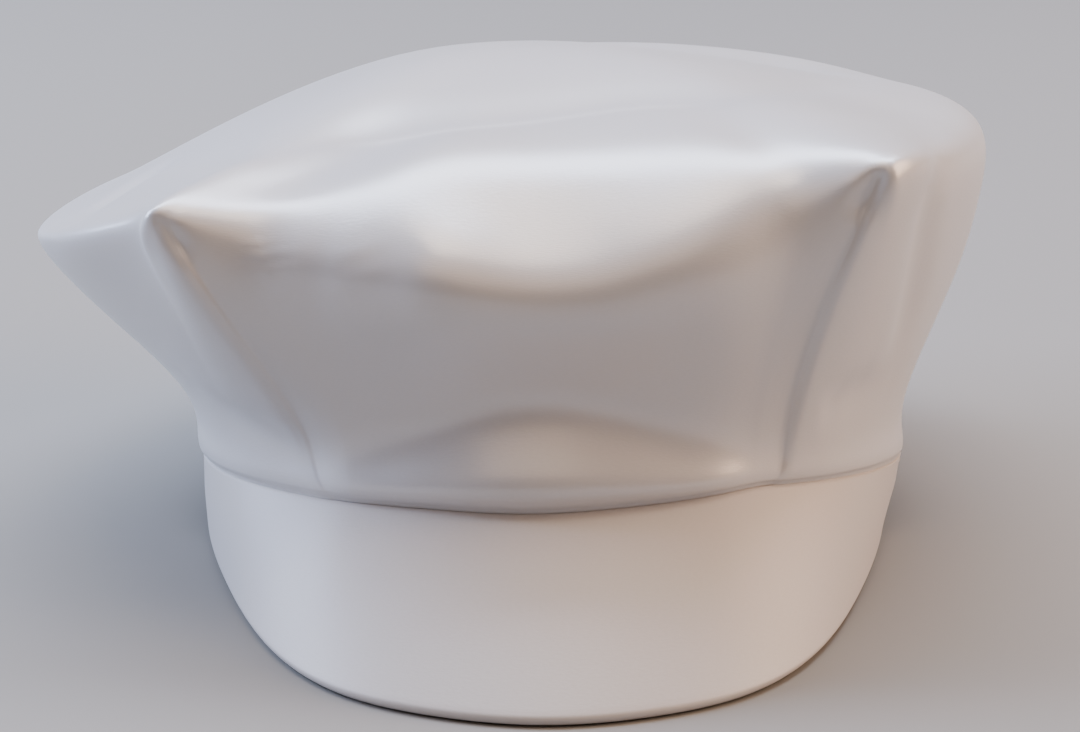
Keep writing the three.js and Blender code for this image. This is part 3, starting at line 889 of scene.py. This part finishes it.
# Woven white polyester satin. Its long floats lie side by side like combed hair, so the cloth looks
# smooth and pearly: each roll takes one broad, soft shine with no hard edge, and the cloth greys
# quickly where it turns away from the light. The weave itself shows only as a faint slub.
@dataclass(frozen=True)
class Satin:
    """White polyester satin.

    Attributes:
        name: the material's name.
        light: colour of the cloth where its floats lie flat, as sRGB hex.
        shade: colour between them, as sRGB hex.
        roughness: of its gloss.
        uneven: how far the roughness strays either way, as the cloth is handled.
        handled: size of the places where it strays, in metres.
        gloss: strength of its gloss.
        index: refractive index, above that of plain polyester because the floats all shine one way.
        sheen: strength of its soft bloom at grazing angles.
        sheen_roughness: of that bloom.
        slub: spacing of its thicker yarns, in metres.
        slub_stretch: how much longer a slub is, round the hat, than it is high.
        relief: height of a slub, in metres.
        relief_share: how much of that height shows in the shading.
    """

    name: str
    light: str = "#d3d1d2"
    shade: str = "#cac8ca"
    roughness: float = 0.31
    uneven: float = 0.05
    handled: float = 0.03
    gloss: float = 1.0
    index: float = 1.8
    sheen: float = 0.1
    sheen_roughness: float = 0.4
    slub: float = 0.0009
    slub_stretch: float = 3.0
    relief: float = 0.0002
    relief_share: float = 0.12

    def material(self) -> bpy.types.Material:
        """Makes the satin's material.

        Returns:
            The material.
        """
        material = bpy.data.materials.new(self.name)
        material.use_nodes = True
        tree = material.node_tree
        tree.nodes.clear()
        place = add_node(tree, "ShaderNodeTexCoord", {}, {})
        # The real yarns lie about 0.1 mm apart, too fine to show, so the slub is drawn nine times coarser.
        grain = add_node(tree, "ShaderNodeMapping", {
            "Scale": (1.0, self.slub_stretch, 1.0),
        }, {"Vector": place.outputs["UV"]})
        slub = add_node(tree, "ShaderNodeTexNoise", {
            "Scale": 1 / self.slub, "Detail": 3.0,
        }, {"Vector": grain.outputs["Vector"]})
        cloud = add_node(tree, "ShaderNodeTexNoise", {
            "Scale": 1 / self.handled, "Detail": 2.0,
        }, {"Vector": place.outputs["Object"]})
        colour = add_node(tree, "ShaderNodeMix", {
            "data_type": "RGBA", 6: linear(self.shade), 7: linear(self.light),
        }, {0: slub.outputs["Fac"]})
        rough = add_node(tree, "ShaderNodeMapRange", {
            "To Min": self.roughness - self.uneven, "To Max": self.roughness + self.uneven,
        }, {"Value": cloud.outputs["Fac"]})
        bump = add_node(tree, "ShaderNodeBump", {
            "Strength": self.relief_share, "Distance": self.relief,
        }, {"Height": slub.outputs["Fac"]})
        shader = add_node(tree, "ShaderNodeBsdfPrincipled", {
            "Sheen Weight": self.sheen, "Sheen Roughness": self.sheen_roughness,
            "IOR": self.index, "Specular IOR Level": self.gloss,
        }, {
            "Base Color": colour.outputs[2], "Roughness": rough.outputs[0],
            "Normal": bump.outputs["Normal"],
        })
        add_node(tree, "ShaderNodeOutputMaterial", {}, {"Surface": shader.outputs[0]})
        return material


# Rolled matt paint. It spreads light evenly and shows no shine, so the floor stays a plain pale
# ground with a soft shadow.
@dataclass(frozen=True)
class FloorPaint:
    """Matt paint of the floor that the hat rests on.

    Attributes:
        name: the material's name.
        colour: its colour as sRGB hex.
        roughness: of its surface.
    """

    name: str = "rolled_matt_paint"
    colour: str = "#8b8986"
    roughness: float = 0.9

    def material(self) -> bpy.types.Material:
        """Makes the paint's material.

        Returns:
            The material.
        """
        material = bpy.data.materials.new(self.name)
        material.use_nodes = True
        shader = material.node_tree.nodes["Principled BSDF"]
        shader.inputs["Base Color"].default_value = linear(self.colour)
        shader.inputs["Roughness"].default_value = self.roughness
        return material


@dataclass(frozen=True)
class SoftLight:
    """A soft light with straight sides that faces the hat.

    Attributes:
        name: what it is.
        place: where it hangs, in metres.
        width: from side to side, in metres.
        height: from its lower to its upper side, in metres.
        power: in watts.
        colour: its colour as sRGB hex.
    """

    name: str
    place: tuple[float, float, float]
    width: float
    height: float
    power: float
    colour: str

    def hang(self, target: Vector) -> None:
        """Hangs the light.

        Args:
            target: what it faces, in metres.
        """
        light = bpy.data.lights.new(self.name, "AREA")
        light.shape = "RECTANGLE"
        light.size = self.width
        light.size_y = self.height
        light.energy = self.power
        light.color = linear(self.colour)[:3]
        lamp = bpy.data.objects.new(self.name, light)
        lamp.location = self.place
        lamp.rotation_euler = (target - Vector(self.place)).to_track_quat("-Z", "Y").to_euler()
        bpy.context.scene.collection.objects.link(lamp)


@dataclass
class Studio:
    """The plain studio: floor, lights, air and camera.

    Attributes:
        lights: its soft lights.
        target: what they face, in metres.
        air: colour of the light from all round.
        air_strength: its strength.
        floor_half: half the side of the square floor, in metres.
        camera_place: where the camera stands, in metres.
        camera_pitch: how far it is raised from looking straight down, degrees.
        lens: its focal length, in millimetres.
        sensor: width of its sensor, in millimetres.
    """

    lights: tuple[SoftLight, ...] = (
        SoftLight("window_light", (0.0, 0.55, 1.33), 1.8, 0.55, 45.0, "#e0eaff"),
        SoftLight("low_cool_light", (-1.2, 0.35, 0.64), 0.9, 0.9, 35.0, "#cbdcff"),
        SoftLight("overhead_light", (0.05, -0.15, 1.42), 0.7, 0.7, 8.5, "#ffe9d4"),
        SoftLight("warm_right_light", (1.2, 0.0, 0.6), 0.9, 0.9, 20.0, "#ffd5b4"),
        SoftLight("warm_front_light", (-0.12, -0.85, 0.9), 1.0, 0.7, 3.0, "#ffdcc0"),
    )
    target: tuple[float, float, float] = (0.0, 0.0, 0.04)
    air: str = "#dfe4ee"
    air_strength: float = 0.02
    floor_half: float = 3.0
    camera_place: tuple[float, float, float] = (0.00514, -0.56434, 0.20238)
    camera_pitch: float = 73.0
    lens: float = 102.03
    sensor: float = 36.0

    def lay_floor(self) -> None:
        """Lays the floor."""
        mesh_maker = bmesh.new()
        bmesh.ops.create_grid(mesh_maker, x_segments=1, y_segments=1, size=self.floor_half)
        mesh = bpy.data.meshes.new("floor")
        mesh_maker.to_mesh(mesh)
        mesh_maker.free()
        floor = bpy.data.objects.new("floor", mesh)
        floor.data.materials.append(FloorPaint().material())
        bpy.context.scene.collection.objects.link(floor)

    def light(self) -> None:
        """Hangs the lights and colours the air."""
        for lamp in self.lights:
            lamp.hang(Vector(self.target))
        world = bpy.data.worlds.new("studio_air")
        world.use_nodes = True
        background = world.node_tree.nodes["Background"]
        background.inputs["Color"].default_value = linear(self.air)
        background.inputs["Strength"].default_value = self.air_strength
        bpy.context.scene.world = world

    def set_camera(self) -> None:
        """Stands the camera before the hat."""
        camera = bpy.data.cameras.new("camera")
        camera.lens = self.lens
        camera.sensor_width = self.sensor
        holder = bpy.data.objects.new("camera", camera)
        holder.location = self.camera_place
        holder.rotation_euler = (math.radians(self.camera_pitch), 0.0, 0.0)
        bpy.context.scene.collection.objects.link(holder)
        bpy.context.scene.camera = holder


def finish_piece(piece: bpy.types.Object, satin: Satin, node: str) -> None:
    """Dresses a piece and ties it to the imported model.

    Args:
        piece: the piece.
        satin: its finish.
        node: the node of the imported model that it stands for.
    """
    piece.data.materials.append(satin.material())
    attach(piece, "root")
    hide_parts(node)
    LOG.info("%s: %d faces", piece.name, len(piece.data.polygons))


def main() -> None:
    """Builds the studio and the hat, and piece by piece."""
    logging.basicConfig(level=logging.INFO, format="%(name)s: %(message)s")
    studio = Studio()
    studio.set_camera()
    studio.light()
    studio.lay_floor()
    form = CrownForm(Opening())
    finish_piece(Crown(form).build(), Satin("woven_satin"), "crown")
    # Stretched and pressed over its stiffener, the peak's satin has lost most of its shine, so it is
    # rougher and glosses less. Its colours are painted shade and painted warm light: an even, darker and
    # warmer copy of the crown's white that stands in for the crown's shade over it and the warm light
    # from the front. Under the lights it darkens only gently towards its sides.
    pressed = Satin("pressed_woven_satin_painted_shade", light="#cac5c3", shade="#c2bdbb", roughness=0.52, gloss=0.4)
    finish_piece(Peak(form).build(), pressed, "peak")


if __name__ == "__main__":
    main()
